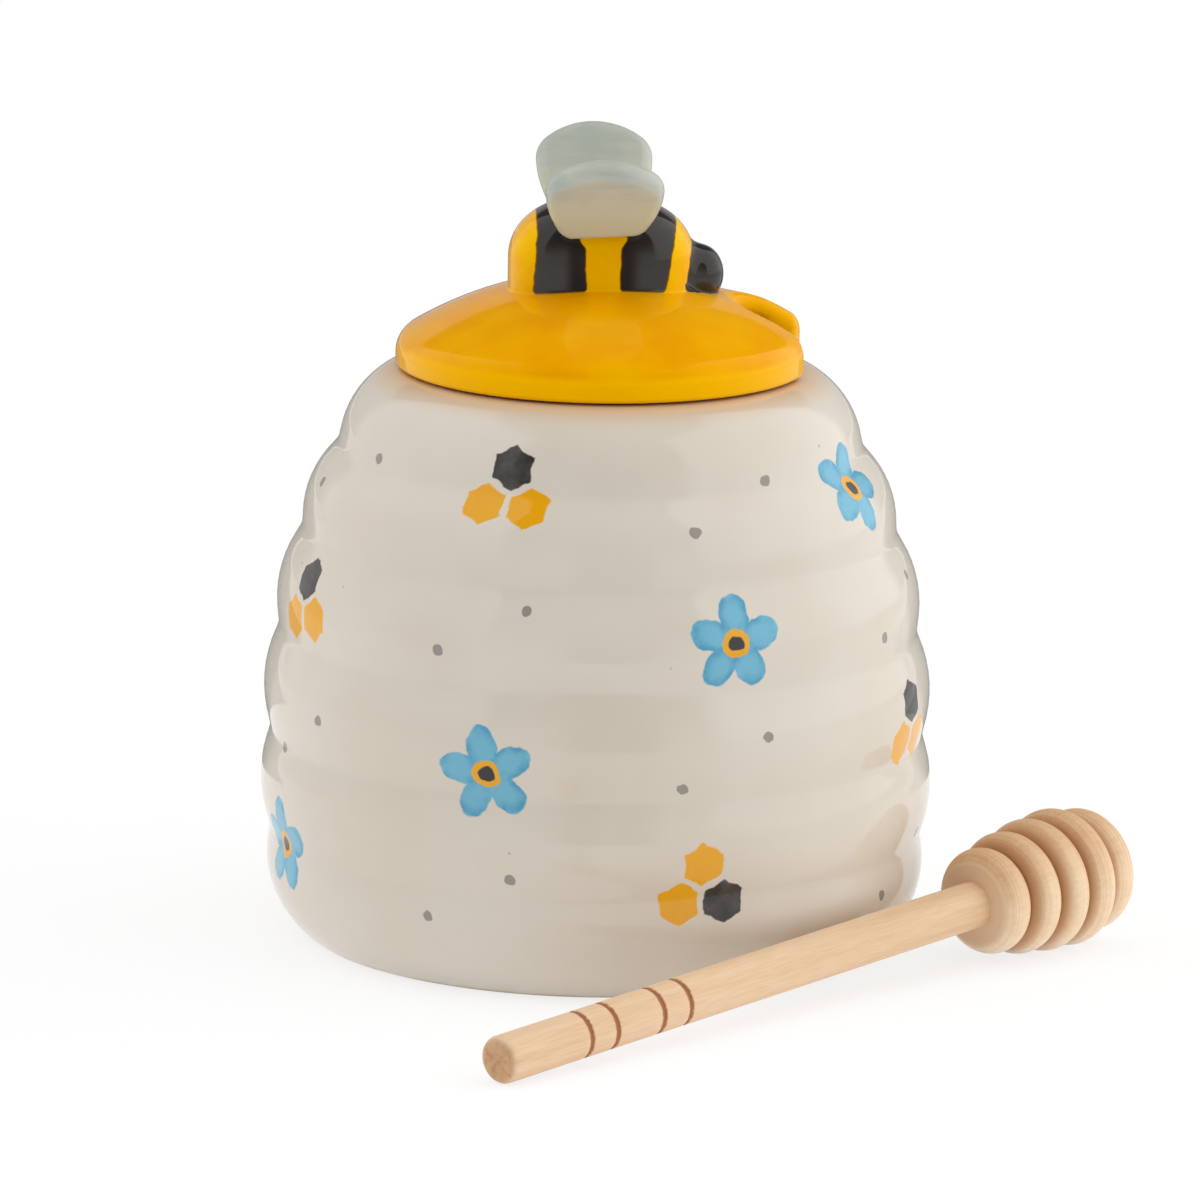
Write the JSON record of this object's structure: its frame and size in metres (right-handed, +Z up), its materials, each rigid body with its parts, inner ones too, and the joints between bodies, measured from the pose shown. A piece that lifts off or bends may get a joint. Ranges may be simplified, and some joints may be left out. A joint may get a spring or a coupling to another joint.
{
  "type": "honey pot with dipper",
  "caption": "Ribbed hive-shaped glazed jar with a notched lift-off lid, a bee-shaped knob and a turned wooden honey dipper.",
  "frame": {"origin": "middle of the jar's foot ring, on the surface it stands on", "axes": "+Z up, +X towards the notch in the lid, -Y towards the viewer"},
  "size_m": [0.1497, 0.1643, 0.1372],
  "materials": {
    "jar_glaze": "glossy off-white glaze with a small transfer print",
    "yellow_glaze": "glossy egg-yolk yellow glaze",
    "striped_glaze": "glossy yellow glaze with hand-painted black bands",
    "black_glaze": "glossy black glaze",
    "wing_glaze": "glossy pale grey glaze",
    "dowel_wood": "sanded pale wood with burnt lines",
    "turned_wood": "turned wood, a little browner in the grooves"
  },
  "bodies": {
    "jar": {"pot_body": "jar_glaze"},
    "lid_with_bee": {"lid": "yellow_glaze", "bee_body": "striped_glaze", "bee_head": "black_glaze", "front_wing": "wing_glaze", "rear_wing": "wing_glaze"},
    "dipper": {"dipper_handle": "dowel_wood", "dipper_head": "turned_wood"}
  },
  "joints": [
    {"name": "lid_lift", "type": "slide", "parent": "jar", "child": "lid_with_bee", "axis": [0, 0, 1], "range_m": [0, 0.1]},
    {"name": "dipper_lift", "type": "slide", "parent": "jar", "child": "dipper", "axis": [0, 0, 1], "range_m": [0, 0.16]}
  ]
}
